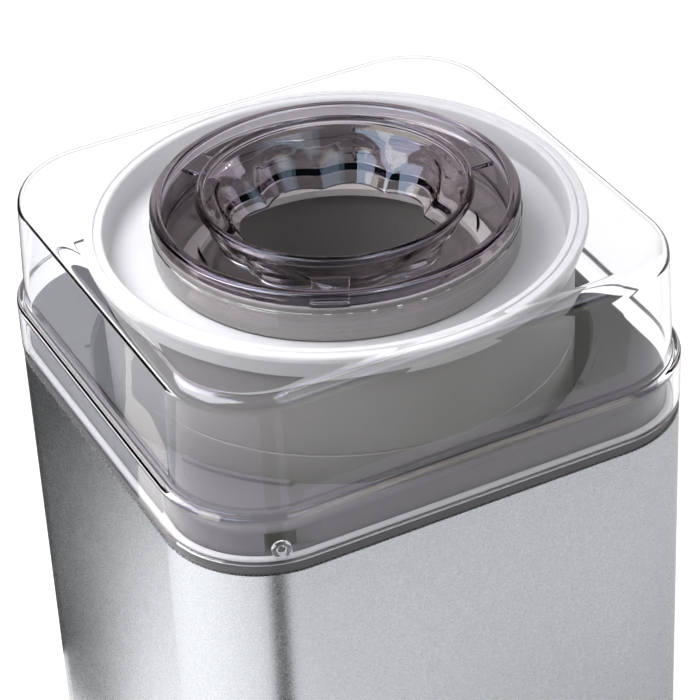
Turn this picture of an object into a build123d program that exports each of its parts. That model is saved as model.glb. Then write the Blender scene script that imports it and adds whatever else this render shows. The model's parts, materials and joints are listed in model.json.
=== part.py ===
"""Two-quart freezer-bowl ice cream maker, modelled as separate pieces.

Origin: centre of the footprint, on the surface that the rubber feet rest on.
Axes: +Z up, the control knob on the -Y face, +X to the right of that face. Millimetres.
"""
import os
from math import acos, cos, pi, radians, sin, tan

from build123d import *

# ---------------------------------------------------------------- driving dimensions
BODY_W = 210.0            # steel wrap, across the front
BODY_D = 206.0            # steel wrap, front to back
BODY_R = 39.4             # outside radius of its upright corners
STEEL_T = 1.0             # sheet thickness
FOOT_H = 6.0              # rubber feet
BASE_STEP = 14.0          # top of the visible plinth, where the steel starts
STEEL_TOP = 202.0         # upper edge of the steel wrap
TRIM_TOP = STEEL_TOP + 4.1
DECK_TOP = STEEL_TOP + 17.0
RIM_TOP = STEEL_TOP + 69.4       # freezer bowl's rim
LID_TOP = STEEL_TOP + 72.6       # flat top of the clear lid
COLLAR_TOP = STEEL_TOP + 74.2
SPOUT_RING_TOP = STEEL_TOP + 80.3
FUNNEL_TOP = STEEL_TOP + 84.0    # highest point of the machine

LID_T = 2.0               # clear lid wall
LEDGE_Z = STEEL_TOP + 25.0       # top of the lid's skirt, where its wall starts
WALL_INSET = 2.9          # lid wall stands in from the skirt by this much
WALL_DRAFT = 2.0          # degrees
SHOULDER_R = 7.0          # rounded top edge of the lid
SHOULDER_IN_R = 4.0       # and of its inside
COLLAR_R = 69.4
COLLAR_T = 2.4
COLLAR_BOTTOM = STEEL_TOP + 59.3

RIM_R = 94.5              # freezer bowl
RIM_INNER_R = 87.6
RECESS_Z = STEEL_TOP + 58.5
MOUTH_R = 66.0
CAVITY_FLOOR_R = 62.0
CAVITY_FLOOR_Z = 130.0
SHELL_TOP_R = 89.5
SHELL_BOTTOM_R = 86.0
BOWL_BOTTOM = 108.0
SHELL_T = 2.0
LINER_T = 1.5

WELL_R = 95.5             # well in the deck that the bowl stands in
WELL_FLOOR_R = 92.0
WELL_FLOOR_Z = 99.0
DECK_T = 2.4
DECK_GAP = 3.3            # between the deck's side and the lid's skirt

FUNNEL_R = 52.3           # ingredient spout
THROAT_R = 36.8
THROAT_WAVE = 2.0         # half the depth of its flutes
FLUTES = 9
FLUTE_PHASE = 52.0        # degrees from +X
THROAT_Z = STEEL_TOP + 60.5
WEB_Z = STEEL_TOP + 64.0
SPOUT_T = 1.6
TAB_ANGLES = (1.0, 121.0, 241.0)
RIB_ANGLE = 54.0          # moulded rib on the outside of the funnel

PADDLE_RING_R = 61.0
PADDLE_RING_IN = 55.0
PADDLE_RING_Z = STEEL_TOP + 48.0
PADDLE_LEG_ANGLES = (154.0, 334.0)

SHAFT_R = 6.0             # output shaft
RUN = 0.05                # radial running clearance of a shaft in a bush
PIN_R = 3.0
MOTOR_SHAFT_R = 3.0
CASE_Z = 68.0             # gear case, from its underside to the top of its cover
CASE_RIM = 93.0
CASE_TOP = 96.0
CASE_T = 2.5

OUT_TEETH, OUT_MODULE = 64, 1.25
SECOND_PINION_TEETH = 16
SECOND_TEETH, SECOND_MODULE = 56, 1.0
FIRST_PINION_TEETH = 14
FIRST_TEETH, FIRST_MODULE = 50, 0.8
MOTOR_TEETH = 12
OUT_LAYER = (84.5, 91.5)
SECOND_LAYER = (78.0, 83.0)
FIRST_LAYER = (71.5, 76.5)
SECOND_BEARING = 90.0     # direction of the second idler from the output shaft, degrees
FIRST_BEARING = 210.0     # of the first idler from the second
MOTOR_BEARING = 270.0     # of the motor from the first idler

KNOB_Z = 48.0
KNOB_R = 18.0
KNOB_REACH = 12.0         # how far the knob stands out of the front
GLAND_Z = 34.0
CORD_BORE_R = 3.6
POST_X, POST_Y = 80.0, 78.0
POST_R = 6.0

FRONT = -BODY_D / 2
BACK = BODY_D / 2


# ---------------------------------------------------------------- helpers
def prism(width, depth, radius, z0, z1):
    """Upright block with rounded corners."""
    return Pos(0, 0, z0) * extrude(RectangleRounded(width, depth, radius), z1 - z0)


def body_prism(inset, z0, z1):
    """Block that follows the steel wrap's outline, inset all round."""
    return prism(BODY_W - 2 * inset, BODY_D - 2 * inset, BODY_R - inset, z0, z1)


def disc(radius, z0, z1, x=0.0, y=0.0):
    return Pos(x, y, z0) * extrude(Circle(radius), z1 - z0)


def tube(outer, inner, z0, z1, x=0.0, y=0.0):
    return Pos(x, y, z0) * extrude(Circle(outer) - Circle(inner), z1 - z0)


def block(x0, x1, y0, y1, z0, z1):
    centre = Pos((x0 + x1) / 2, (y0 + y1) / 2, (z0 + z1) / 2)
    return centre * Box(x1 - x0, y1 - y0, z1 - z0)


def rod_y(radius, y0, y1, z, x=0.0):
    """Cylinder along Y."""
    return Pos(x, (y0 + y1) / 2, z) * Rot(90, 0, 0) * Cylinder(radius, y1 - y0)


def turned(points):
    """Solid of revolution about Z from an outline of (radius, height) points."""
    return revolve(Plane.XZ * make_face(Polyline(*points, close=True)), Axis.Z)


def polar(radius, degrees, origin=(0.0, 0.0)):
    angle = radians(degrees)
    return origin[0] + radius * cos(angle), origin[1] + radius * sin(angle)


def at_corners(solid):
    """Four copies of a solid that is modelled at the origin, one at each corner post."""
    return [Pos(sx * POST_X, sy * POST_Y, 0) * solid for sx in (-1, 1) for sy in (-1, 1)]


def joined(solids):
    whole = solids[0]
    for solid in solids[1:]:
        whole = whole + solid
    return whole


# ---------------------------------------------------------------- gears
PRESSURE = radians(20)
BACKLASH = 0.12           # share of the module taken off each tooth
DEDENDUM = 1.25           # depth of a tooth below its pitch circle, in modules
LIGHTENING_HOLES = 6
LIGHTENING_R = 7.5
LIGHTENING_AT = 24.0      # radius of the circle that their centres lie on


def flank_angle(teeth, module, radius):
    """Half the angle that a tooth fills at a radius."""
    pitch = module * teeth / 2
    base = pitch * cos(PRESSURE)
    half = pi / (2 * teeth) - BACKLASH * module / (2 * pitch)
    roll = acos(base / max(radius, base))
    return half + (tan(PRESSURE) - PRESSURE) - (tan(roll) - roll)


def gear(teeth, module, phase, layer, bore, centre):
    """Involute spur gear with a tooth centred on the direction phase (radians)."""
    pitch = module * teeth / 2
    steps = (-DEDENDUM, -0.5, 0, 0.5, 1)
    radii = [pitch + step * module for step in steps]
    points = []
    for index in range(teeth):
        middle = phase + 2 * pi * index / teeth
        flank = [(radius, flank_angle(teeth, module, radius)) for radius in radii]
        rising = [(radius, middle - angle) for radius, angle in flank]
        falling = [(radius, middle + angle) for radius, angle in reversed(flank)]
        points += [(radius * cos(angle), radius * sin(angle)) for radius, angle in rising + falling]
    outline = make_face(Polyline(*points, close=True))
    face = outline - Circle(bore) if bore else outline
    return Pos(centre[0], centre[1], layer[0]) * extrude(face, layer[1] - layer[0])


def centre_distance(teeth, other, module):
    return module * (teeth + other) / 2


SECOND_AT = polar(centre_distance(OUT_TEETH, SECOND_PINION_TEETH, OUT_MODULE), SECOND_BEARING)
FIRST_AT = polar(
    centre_distance(SECOND_TEETH, FIRST_PINION_TEETH, SECOND_MODULE), FIRST_BEARING, SECOND_AT
)
MOTOR_AT = polar(centre_distance(FIRST_TEETH, MOTOR_TEETH, FIRST_MODULE), MOTOR_BEARING, FIRST_AT)


def facing_gap(bearing, teeth):
    """Phase that puts a gap between teeth towards the gear that stands at the far end of bearing."""
    return radians(bearing) + pi + pi / teeth


def output_gear():
    wheel = gear(OUT_TEETH, OUT_MODULE, radians(SECOND_BEARING), OUT_LAYER, SHAFT_R, (0, 0))
    pitch = 360 / LIGHTENING_HOLES
    places = [polar(LIGHTENING_AT, pitch * k) for k in range(LIGHTENING_HOLES)]
    return wheel - [disc(LIGHTENING_R, *OUT_LAYER, *at) for at in places]


def second_idler():
    z_join = SECOND_LAYER[1]
    phase = facing_gap(SECOND_BEARING, SECOND_PINION_TEETH)
    layer = (z_join, OUT_LAYER[1])
    pinion = gear(SECOND_PINION_TEETH, OUT_MODULE, phase, layer, PIN_R + RUN, SECOND_AT)
    phase = radians(FIRST_BEARING)
    wheel = gear(SECOND_TEETH, SECOND_MODULE, phase, SECOND_LAYER, PIN_R + RUN, SECOND_AT)
    return wheel + pinion


def first_idler():
    z_join = FIRST_LAYER[1]
    phase = facing_gap(FIRST_BEARING, FIRST_PINION_TEETH)
    layer = (z_join, SECOND_LAYER[1])
    pinion = gear(FIRST_PINION_TEETH, SECOND_MODULE, phase, layer, PIN_R + RUN, FIRST_AT)
    phase = radians(MOTOR_BEARING)
    wheel = gear(FIRST_TEETH, FIRST_MODULE, phase, FIRST_LAYER, PIN_R + RUN, FIRST_AT)
    return wheel + pinion


def motor_pinion():
    phase = facing_gap(MOTOR_BEARING, MOTOR_TEETH)
    return gear(MOTOR_TEETH, FIRST_MODULE, phase, FIRST_LAYER, MOTOR_SHAFT_R, MOTOR_AT)


def gear_pins():
    return [disc(PIN_R, CASE_Z, CASE_TOP, *at) for at in (SECOND_AT, FIRST_AT)]


# ---------------------------------------------------------------- gear case
CASE_X = (-58.0, 48.0)
CASE_Y = (-47.0, 84.0)
CASE_R = 12.0
BUSH_R = 9.0
BUSH_TOP = 74.0           # of the lower bush
BUSH_WALL = 2.5           # of the seat round it
MOTOR_HOLE_R = 7.0
MOTOR_HOLE_TOP = 71.0
CASE_SCREW_INSET = 7.0
CASE_SCREW_R = 1.6
CASE_HEAD_R = 3.0
CASE_HEAD_H = 1.5
CASE_BOSS_R = 5.0
CASE_THREAD_Z = 80.0      # bottom of the threaded holes
CASE_SCREW_END = 82.0


def case_outline(inset, z0, z1):
    width = CASE_X[1] - CASE_X[0] - 2 * inset
    depth = CASE_Y[1] - CASE_Y[0] - 2 * inset
    centre = Pos(sum(CASE_X) / 2, sum(CASE_Y) / 2, z0)
    return centre * extrude(RectangleRounded(width, depth, CASE_R - inset), z1 - z0)


def case_screw_places():
    across = (CASE_X[0] + CASE_SCREW_INSET, CASE_X[1] - CASE_SCREW_INSET)
    along = (CASE_Y[0] + CASE_SCREW_INSET, CASE_Y[1] - CASE_SCREW_INSET)
    return [(x, y) for x in across for y in along]


def gearbox_case():
    shell = case_outline(0, CASE_Z, CASE_RIM) - case_outline(CASE_T, CASE_Z + CASE_T, CASE_RIM)
    bosses = [disc(CASE_BOSS_R, CASE_Z, CASE_RIM, *at) for at in case_screw_places()]
    shell = joined([shell] + bosses) + disc(BUSH_R + BUSH_WALL, CASE_Z, BUSH_TOP)
    holes = [disc(CASE_SCREW_R, CASE_THREAD_Z, CASE_RIM, *at) for at in case_screw_places()]
    holes += [disc(PIN_R, CASE_Z, CASE_RIM, *at) for at in (SECOND_AT, FIRST_AT)]
    holes += [disc(BUSH_R, CASE_Z, BUSH_TOP), disc(MOTOR_HOLE_R, CASE_Z, MOTOR_HOLE_TOP, *MOTOR_AT)]
    return shell - holes


def gearbox_cover():
    plate = case_outline(0, CASE_RIM, CASE_TOP)
    head_z = CASE_TOP - CASE_HEAD_H
    holes = [disc(CASE_SCREW_R, CASE_RIM, CASE_TOP, *at) for at in case_screw_places()]
    holes += [disc(CASE_HEAD_R, head_z, CASE_TOP, *at) for at in case_screw_places()]
    holes += [disc(PIN_R, CASE_RIM, CASE_TOP, *at) for at in (SECOND_AT, FIRST_AT)]
    return plate - holes - disc(BUSH_R, CASE_RIM, CASE_TOP)


def gearbox_screws():
    """Four screws with sunk heads, flush with the cover."""
    head_z = CASE_TOP - CASE_HEAD_H
    shank = disc(CASE_SCREW_R, CASE_SCREW_END, head_z)
    screw = shank + disc(CASE_HEAD_R, head_z, CASE_TOP)
    return [Pos(x, y, 0) * screw for x, y in case_screw_places()]


def output_bushes():
    lower = tube(BUSH_R, SHAFT_R + RUN, CASE_Z, BUSH_TOP)
    upper = tube(BUSH_R, SHAFT_R + RUN, CASE_RIM, CASE_TOP)
    return [lower, upper]


# ---------------------------------------------------------------- motor
STACK_Z = (34.0, 58.0)    # laminated stack
STACK_HALF = 30.0
STACK_FRONT = -24.0
WINDOW_HALF = 17.0        # opening in the stack that the winding passes through
WINDOW_Y = 22.0
LEG_Y = (38.0, 52.0)      # leg that carries the winding, from the motor's axis
COIL_HALF = 15.0
COIL_BUILD = 8.0          # thickness of the winding round its leg
COIL_R = 5.0
ROTOR_R = 12.6
AIR_GAP = 0.6
BOLT_X = 24.0
BOLT_R = 2.0
BOLT_HEAD_R = 3.6
BOLT_HEAD_Z = 24.6
BRIDGE_T = 3.0            # lower bridge; the upper one reaches from BRIDGE_UP_Z to the gear case
BRIDGE_LOW_Z = 27.0
BRIDGE_UP_Z = 63.0
BRIDGE_HALF = 8.0
BRIDGE_LEG = 6.0
MOTOR_BUSH_R = 6.0
ROTOR_Z = (33.0, 59.0)
FAN_Z = (16.0, 23.0)
FAN_HUB_R = 7.0
FAN_BLADES = 7
FAN_PITCH = 35.0          # tilt of a blade, degrees
FAN_BLADE = (17.0, 8.0, 1.2)
FAN_BLADE_AT = 14.5


def at_motor(solid):
    return Pos(MOTOR_AT[0], MOTOR_AT[1], 0) * solid


def motor_stator():
    stack = block(-STACK_HALF, STACK_HALF, STACK_FRONT, LEG_Y[1], *STACK_Z)
    window = block(-WINDOW_HALF, WINDOW_HALF, WINDOW_Y, LEG_Y[0], *STACK_Z)
    bolts = [disc(BOLT_R, *STACK_Z, side * BOLT_X) for side in (-1, 1)]
    return at_motor(stack - window - disc(ROTOR_R + AIR_GAP, *STACK_Z) - bolts)


def motor_winding():
    y0, y1 = LEG_Y[0] - COIL_BUILD, LEG_Y[1] + COIL_BUILD
    coil = block(-COIL_HALF, COIL_HALF, y0, y1, STACK_Z[0] - COIL_BUILD, STACK_Z[1] + COIL_BUILD)
    coil = fillet(coil.edges().filter_by(Axis.X), COIL_R)
    return at_motor(coil - block(-COIL_HALF - 1, COIL_HALF + 1, *LEG_Y, *STACK_Z))


def motor_bracket(z0, z1, leg_z0, leg_z1):
    """Bridge across the stator that holds one bush."""
    width = (-BRIDGE_HALF, BRIDGE_HALF)
    bridge = block(-STACK_HALF, STACK_HALF, *width, z0, z1)
    legs = [
        block(side * BOLT_X - BRIDGE_LEG, side * BOLT_X + BRIDGE_LEG, *width, leg_z0, leg_z1)
        for side in (-1, 1)
    ]
    holes = [disc(BOLT_R, BRIDGE_LOW_Z, CASE_Z, side * BOLT_X) for side in (-1, 1)]
    return at_motor(joined([bridge] + legs) - holes - disc(MOTOR_BUSH_R, z0, z1))


def motor_bracket_lower():
    top = BRIDGE_LOW_Z + BRIDGE_T
    return motor_bracket(BRIDGE_LOW_Z, top, top, STACK_Z[0])


def motor_bracket_upper():
    return motor_bracket(BRIDGE_UP_Z, CASE_Z, STACK_Z[1], BRIDGE_UP_Z)


def motor_bushes():
    heights = ((BRIDGE_LOW_Z, BRIDGE_LOW_Z + BRIDGE_T), (BRIDGE_UP_Z, CASE_Z))
    return [at_motor(tube(MOTOR_BUSH_R, MOTOR_SHAFT_R + RUN, *span)) for span in heights]


def motor_bolts():
    bolts = []
    for side in (-1, 1):
        shank = disc(BOLT_R, BRIDGE_LOW_Z, CASE_Z, side * BOLT_X)
        head = disc(BOLT_HEAD_R, BOLT_HEAD_Z, BRIDGE_LOW_Z, side * BOLT_X)
        bolts.append(at_motor(shank + head))
    return bolts


def motor_rotor():
    return at_motor(tube(ROTOR_R, MOTOR_SHAFT_R, *ROTOR_Z))


def motor_shaft():
    return at_motor(disc(MOTOR_SHAFT_R, FAN_Z[0], FIRST_LAYER[1]))


def cooling_fan():
    hub = tube(FAN_HUB_R, MOTOR_SHAFT_R, *FAN_Z)
    blade = Pos(FAN_BLADE_AT, 0, sum(FAN_Z) / 2) * Rot(FAN_PITCH, 0, 0) * Box(*FAN_BLADE)
    blades = [Rot(0, 0, k * 360 / FAN_BLADES) * blade for k in range(FAN_BLADES)]
    return at_motor(joined([hub] + blades))


# ---------------------------------------------------------------- base
TRAY_FLOOR = 9.5
TRAY_TOP = 24.0
TRAY_T = 2.4
PLINTH_INSET = 1.0
PLINTH_EDGE = 1.2
STAND_R = 5.0             # pillars under the gear case
SCREW_R = 2.0             # screws that hold the tray to the corner posts
SCREW_END = 26.0
SCREW_HEAD_R = 4.0
SCREW_HEAD_TOP = 8.0
VENT_X = range(-54, -6, 8)
VENT_Y = (-56.0, -24.0)
VENT_W = 3.0
FOOT_R = 10.0
FOOT_EDGE = 1.2
FOOT_HOLE_R = 4.5


def base_tray():
    plinth = body_prism(PLINTH_INSET, FOOT_H, BASE_STEP)
    plinth = chamfer(plinth.edges().group_by(Axis.Z)[0], PLINTH_EDGE)
    upstand = body_prism(STEEL_T, BASE_STEP, TRAY_TOP)
    tray = plinth + upstand - body_prism(STEEL_T + TRAY_T, TRAY_FLOOR, TRAY_TOP)
    stands = [disc(STAND_R, TRAY_FLOOR, CASE_Z, *at) for at in case_screw_places()]
    tray = joined([tray] + stands)
    sinks = at_corners(disc(SCREW_HEAD_R + 0.2, FOOT_H, SCREW_HEAD_TOP))
    vents = [block(x, x + VENT_W, *VENT_Y, FOOT_H, TRAY_FLOOR) for x in VENT_X]
    return tray - at_corners(disc(SCREW_R, FOOT_H, TRAY_FLOOR)) - sinks - vents


def rubber_feet():
    foot = disc(FOOT_R, 0, FOOT_H)
    foot = fillet(foot.edges().group_by(Axis.Z)[0], FOOT_EDGE)
    return at_corners(foot - disc(FOOT_HOLE_R, 0, FOOT_H))


def base_screws():
    head = disc(SCREW_HEAD_R, FOOT_H, SCREW_HEAD_TOP)
    return at_corners(head + disc(SCREW_R, SCREW_HEAD_TOP, SCREW_END))


def corner_posts():
    post = disc(POST_R, TRAY_FLOOR, DECK_TOP - DECK_T) - disc(SCREW_R, TRAY_FLOOR, SCREW_END)
    return at_corners(post)


GLAND_NECK_R = 7.5
GLAND_NOSE_R = 6.4
GLAND_FLANGE_R = 10.0
GLAND_FLANGE_T = 2.5
GLAND_GROOVE_W = 1.2
GLAND_GROOVES = (4.5, 7.3)       # distance of each groove from the rear panel
GLAND_INSIDE = BACK - 8.0
GLAND_OUTSIDE = BACK + KNOB_REACH


def cord_gland():
    flange = rod_y(GLAND_FLANGE_R, BACK, BACK + GLAND_FLANGE_T, GLAND_Z)
    nose = rod_y(GLAND_NOSE_R, BACK, GLAND_OUTSIDE, GLAND_Z)
    neck = rod_y(GLAND_NECK_R, GLAND_INSIDE, BACK, GLAND_Z)
    grooves = []
    for reach in GLAND_GROOVES:
        y = (BACK + reach, BACK + reach + GLAND_GROOVE_W)
        grooves.append(rod_y(GLAND_NOSE_R + 1, *y, GLAND_Z) - rod_y(GLAND_NOSE_R - 1, *y, GLAND_Z))
    return flange + nose + neck - grooves - rod_y(CORD_BORE_R, GLAND_INSIDE, GLAND_OUTSIDE, GLAND_Z)


# ---------------------------------------------------------------- housing, trim and deck
REAR_HALF = 62.0          # half the width of the flat sheet that closes the wrap at the back
BEZEL_NECK_R = 9.0
TRIM_W = 5.0
TRIM_EDGE = 0.5


def rear_gap():
    return block(-REAR_HALF, REAR_HALF, BACK - STEEL_T, BACK, BASE_STEP, STEEL_TOP)


def steel_housing():
    """One bent sheet round the front, the sides and the four corners."""
    wrap = body_prism(0, BASE_STEP, STEEL_TOP) - body_prism(STEEL_T, BASE_STEP, STEEL_TOP)
    return wrap - rod_y(BEZEL_NECK_R, FRONT, FRONT + STEEL_T, KNOB_Z) - rear_gap()


def rear_panel():
    return rear_gap() - rod_y(GLAND_NECK_R, BACK - STEEL_T, BACK, GLAND_Z)


def trim_ring():
    band = body_prism(0, STEEL_TOP, TRIM_TOP) - body_prism(TRIM_W, STEEL_TOP, TRIM_TOP)
    edges = band.faces().sort_by(Axis.Z)[-1].outer_wire().edges()
    return chamfer(edges, TRIM_EDGE)


DECK_INSET = LID_T + DECK_GAP
STUD_BEARING = 254.1      # direction of the locating stud from the centre of its rounded corner
STUD_Z = STEEL_TOP + 9.5
CORNER_AT = (-BODY_W / 2 + BODY_R, -BODY_D / 2 + BODY_R)
FLANGE_T = 1.0
WELL_EDGE = 1.2           # depth of the well's rounded edge
LIP_HEIGHT = 1.4          # raised arcs beside the well's edge, one towards each corner
LIP_SPREAD = 13.0         # degrees, each side of the corner's direction
LIP_BEARINGS = (38.5, 141.5, 218.5, 321.5)
LIP_T = 2.0
LIP_GAP = 0.2             # between the arcs and the well's edge
SEAT_R = 10.0             # seat of the shaft seal
DECK_EDGE_R = 2.0
FLANGE_GAP = 0.6          # between the deck's flange and the lid's skirt
WELL_T = 3.0
POCKET_DEPTH = 3.0
POCKET_Y = (-5.5, 15.5)   # reach of a stud's pocket beside the stud
POCKET_Z = (-2.6, 6.0)    # and below and above it


def at_stud(solid):
    """Puts a solid that is modelled along +X from a corner's centre where the locating stud is."""
    return Pos(*CORNER_AT, STUD_Z) * Rot(0, 0, STUD_BEARING) * solid


def and_opposite(solid):
    """The solid and its twin at the diagonally opposite corner."""
    return [solid, Rot(0, 0, 180) * solid]


def stud_pockets():
    """Pockets in the deck's side that the lid's two locating studs stand in."""
    face = BODY_R - DECK_INSET
    pocket = block(face - POCKET_DEPTH, face + 1, *POCKET_Y, *POCKET_Z)
    return and_opposite(at_stud(pocket))


def corner_lip(bearing):
    """Arc that stands on the deck beside the well."""
    reach = 2 * WELL_R
    edges = [polar(reach, bearing + side * LIP_SPREAD) for side in (-1, 1)]
    wedge = extrude(make_face(Polyline((0, 0), *edges, close=True)), 2 * LIP_HEIGHT)
    inner = WELL_R + LIP_GAP
    ring = tube(inner + LIP_T, inner, DECK_TOP - LIP_HEIGHT, DECK_TOP + LIP_HEIGHT)
    return ring & (Pos(0, 0, DECK_TOP - LIP_HEIGHT) * wedge)


def top_deck():
    flange = body_prism(LID_T + FLANGE_GAP, TRIM_TOP, TRIM_TOP + FLANGE_T)
    platform = body_prism(DECK_INSET, TRIM_TOP, DECK_TOP)
    platform = fillet(platform.edges().group_by(Axis.Z)[-1], DECK_EDGE_R)
    hollow = body_prism(DECK_INSET + DECK_T, TRIM_TOP, DECK_TOP - DECK_T)
    underside = WELL_FLOOR_Z - WELL_T
    well_outside = [
        (0, underside),
        (WELL_FLOOR_R + 2, underside),
        (WELL_R + 0.9, DECK_TOP - DECK_T / 2),
        (0, DECK_TOP - DECK_T / 2),
    ]
    well_inside = [
        (0, WELL_FLOOR_Z),
        (WELL_FLOOR_R, WELL_FLOOR_Z),
        (WELL_R - 1.0, DECK_TOP - WELL_EDGE),
        (WELL_R, DECK_TOP),
        (0, DECK_TOP),
    ]
    deck = platform + flange - hollow + turned(well_outside) - turned(well_inside)
    lips = [corner_lip(bearing) for bearing in LIP_BEARINGS]
    return joined([deck] + lips) - stud_pockets() - disc(SEAT_R, underside, WELL_FLOOR_Z)


def shaft_seal():
    return tube(SEAT_R, SHAFT_R + 0.2, CASE_TOP, WELL_FLOOR_Z + 1)


# ---------------------------------------------------------------- control
BEZEL_R = 22.0
BEZEL_T = 2.0
BEZEL_HOLE_R = 4.0
SWITCH_HALF = 13.0
TERMINAL_X = (-7.0, 0.0, 7.0)
TERMINAL_HALF = 2.0
TERMINAL_L = 7.0
TERMINAL_T = 0.8
TERMINAL_Z = KNOB_Z - 9.0
SPINDLE_R = 3.0
SPINDLE_L = 11.5          # length of the spindle inside the switch
SPINDLE_FRONT = FRONT - 9.0
KNOB_GAP = 0.4            # between the knob and its bezel
KNOB_SKIRT_T = 4.0
GRIP_HALF = 5.0
EDGE_R = 1.2
KNOB_EDGE_R = 1.5
GRIP_EDGE_R = 1.6
SWITCH_Y = (FRONT + STEEL_T, FRONT + 19.0)


def control_bezel():
    plate = rod_y(BEZEL_R, FRONT - BEZEL_T, FRONT, KNOB_Z)
    plate = fillet(plate.edges().group_by(Axis.Y)[0], EDGE_R)
    neck = rod_y(BEZEL_NECK_R, FRONT, FRONT + STEEL_T, KNOB_Z)
    return plate + neck - rod_y(BEZEL_HOLE_R, FRONT - BEZEL_T, FRONT + STEEL_T, KNOB_Z)


def rotary_switch():
    half = SWITCH_HALF
    case = block(-half, half, *SWITCH_Y, KNOB_Z - half, KNOB_Z + half)
    reach = (SWITCH_Y[1], SWITCH_Y[1] + TERMINAL_L)
    height = (TERMINAL_Z, TERMINAL_Z + TERMINAL_T)
    terminals = [block(x - TERMINAL_HALF, x + TERMINAL_HALF, *reach, *height) for x in TERMINAL_X]
    socket = rod_y(SPINDLE_R + RUN, SWITCH_Y[0], SWITCH_Y[0] + SPINDLE_L + 0.5, KNOB_Z)
    return joined([case] + terminals) - socket


def knob_shaft():
    return rod_y(SPINDLE_R, SPINDLE_FRONT, SWITCH_Y[0] + SPINDLE_L, KNOB_Z)


def control_knob():
    front = FRONT - KNOB_REACH
    back = FRONT - BEZEL_T - KNOB_GAP
    skirt = rod_y(KNOB_R, back - KNOB_SKIRT_T, back, KNOB_Z)
    skirt = fillet(skirt.edges().group_by(Axis.Y)[0], KNOB_EDGE_R)
    reach = KNOB_R - 1
    grip = block(-GRIP_HALF, GRIP_HALF, front, back - 3.0, KNOB_Z - reach, KNOB_Z + reach)
    edges = grip.edges().filter_by(Axis.Y) + grip.faces().sort_by(Axis.Y)[0].edges()
    grip = fillet(edges, GRIP_EDGE_R)
    return skirt + grip - rod_y(SPINDLE_R, SPINDLE_FRONT, back, KNOB_Z)


# ---------------------------------------------------------------- freezer bowl
CAP_T = 2.4               # thickness of the cap's recessed floor
CAP_LIP_T = 1.6
CAP_LIP_Z = RECESS_Z - 8.0       # bottom of the lip that closes on the liner
SHELL_SEAT_Z = RECESS_Z + 1.0    # top of the outer shell, under the cap's rim
SHELL_FOOT = 4.0          # height of the shell's sloping lower edge
LINER_CONE_H = 16.0       # cone in the middle of the liner's floor
LINER_CONE_R = (5.0, 9.0)
COOLANT_TOP = RECESS_Z - 16.0
HUB_R = 34.0
HUB_Z = (WELL_FLOOR_Z + 3.0, BOWL_BOTTOM)
HUB_FLOOR_T = 2.0         # of the hub over the end of the shaft
LUGS = 3
LUG_R = 5.0
LUG_AT = 22.0
LUG_H = 2.8


def around(count, radius):
    return [polar(radius, 360 / count * k) for k in range(count)]


def bowl_rim():
    """Light grey cap: grooved rim, recessed annular floor and a lip into the liner."""
    underside = RECESS_Z - CAP_T
    shell_inside = SHELL_TOP_R - SHELL_T - 0.3
    profile = [
        (MOUTH_R, CAP_LIP_Z),
        (MOUTH_R + CAP_LIP_T, CAP_LIP_Z),
        (MOUTH_R + CAP_LIP_T, underside),
        (shell_inside, underside),
        (shell_inside, SHELL_SEAT_Z),
        (RIM_R - 2.6, SHELL_SEAT_Z),
        (RIM_R - 0.2, RIM_TOP - 3.2),
        (RIM_R, RIM_TOP - 1.6),
        (RIM_R - 0.6, RIM_TOP - 0.4),
        (RIM_R - 1.8, RIM_TOP),
        (RIM_R - 3.2, RIM_TOP),
        (RIM_R - 3.7, RIM_TOP - 0.9),
        (RIM_R - 4.2, RIM_TOP),
        (RIM_INNER_R + 0.5, RIM_TOP - 0.1),
        (RIM_INNER_R, RIM_TOP - 0.8),
        (RIM_INNER_R - 1.2, RECESS_Z + 0.8),
        (RIM_INNER_R - 2.0, RECESS_Z),
        (MOUTH_R + 0.8, RECESS_Z),
        (MOUTH_R, RECESS_Z - 0.8),
    ]
    return turned(profile)


def bowl_outer_shell():
    profile = [
        (0, BOWL_BOTTOM),
        (SHELL_BOTTOM_R - SHELL_FOOT, BOWL_BOTTOM),
        (SHELL_BOTTOM_R, BOWL_BOTTOM + SHELL_FOOT),
        (SHELL_TOP_R, SHELL_SEAT_Z),
        (SHELL_TOP_R - SHELL_T, SHELL_SEAT_Z),
        (SHELL_BOTTOM_R - SHELL_T, BOWL_BOTTOM + 5),
        (SHELL_BOTTOM_R - 5, BOWL_BOTTOM + 3),
        (0, BOWL_BOTTOM + 3),
    ]
    sockets = [disc(LUG_R + 0.3, BOWL_BOTTOM, BOWL_BOTTOM + 3, *at) for at in around(LUGS, LUG_AT)]
    return turned(profile) - sockets


def liner_profile(offset, top):
    """Outline of the cavity, grown outwards by offset, from the axis to the top."""
    floor = CAVITY_FLOOR_Z - offset
    return [
        (0, floor + LINER_CONE_H),
        (LINER_CONE_R[0], floor + LINER_CONE_H),
        (LINER_CONE_R[1], floor),
        (CAVITY_FLOOR_R - 10, floor),
        (CAVITY_FLOOR_R - 3 + offset, floor + 4),
        (CAVITY_FLOOR_R + offset, floor + 12),
        (MOUTH_R + offset, top),
        (0, top),
    ]


def bowl_inner_liner():
    return turned(liner_profile(LINER_T, CAP_LIP_Z)) - turned(liner_profile(0, CAP_LIP_Z))


def coolant_fill():
    """Freezing liquid sealed between the shell and the liner."""
    outside = [
        (0, BOWL_BOTTOM + 3),
        (SHELL_BOTTOM_R - 5, BOWL_BOTTOM + 3),
        (SHELL_BOTTOM_R - SHELL_T, BOWL_BOTTOM + 5),
        (SHELL_TOP_R - SHELL_T - 0.6, COOLANT_TOP),
        (0, COOLANT_TOP),
    ]
    return turned(outside) - turned(liner_profile(LINER_T, CAP_LIP_Z))


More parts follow.
